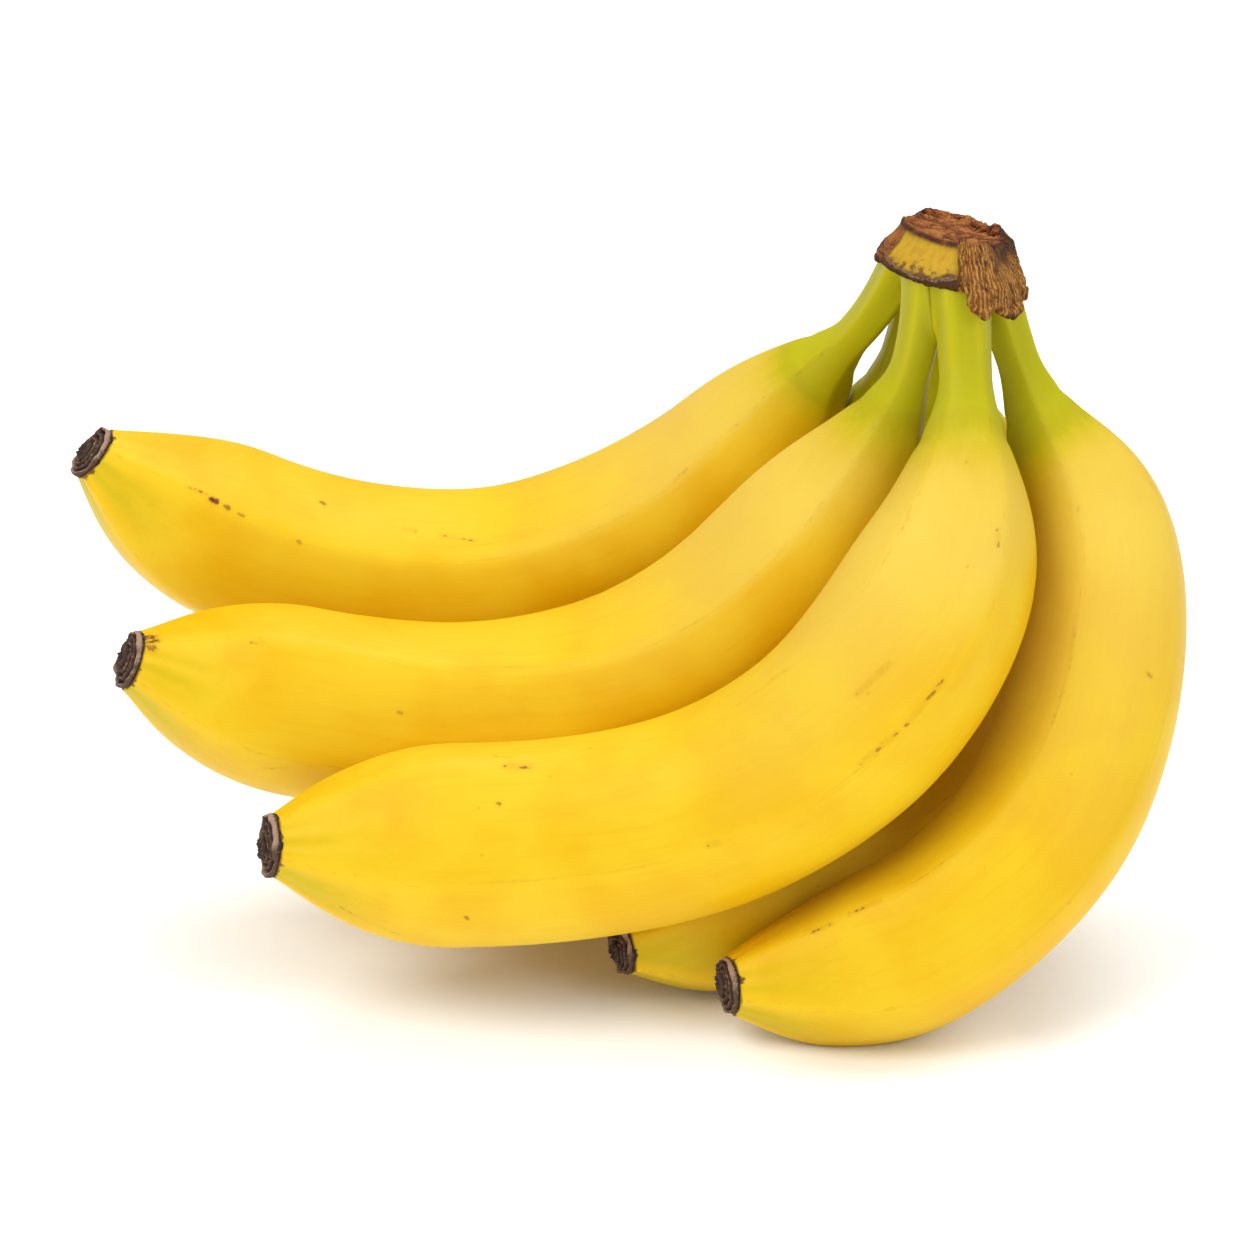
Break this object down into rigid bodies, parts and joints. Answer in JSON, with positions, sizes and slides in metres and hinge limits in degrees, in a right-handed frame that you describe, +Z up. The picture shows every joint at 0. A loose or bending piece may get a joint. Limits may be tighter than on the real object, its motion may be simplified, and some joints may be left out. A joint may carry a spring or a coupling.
{
  "type": "bunch of bananas",
  "caption": "Bunch of ripe bananas curving out from one brown crown in a front and a back row, resting on the bellies of its lower fruits.",
  "frame": {"origin": "middle of the bunch's box, at the surface that it rests on", "axes": "+X along the bunch towards the crown's side, -Y towards the viewer of the picture, +Z up"},
  "size_m": [0.2254, 0.1158, 0.1598],
  "materials": {
    "peel": "ripe yellow peel with a soft waxy sheen, green towards the stalks and the free ends",
    "crown": "brown, dry and fibrous, with one pale yellow cut face",
    "blossom_end": "dark brown, dried and crinkled"
  },
  "bodies": {
    "root": {"crown": "crown", "banana_1": "peel", "banana_2": "peel", "banana_3": "peel", "banana_4": "peel", "banana_5": "peel", "banana_6": "peel", "blossom_end_1": "blossom_end", "blossom_end_2": "blossom_end", "blossom_end_3": "blossom_end", "blossom_end_4": "blossom_end", "blossom_end_5": "blossom_end", "blossom_end_6": "blossom_end"}
  },
  "joints": []
}
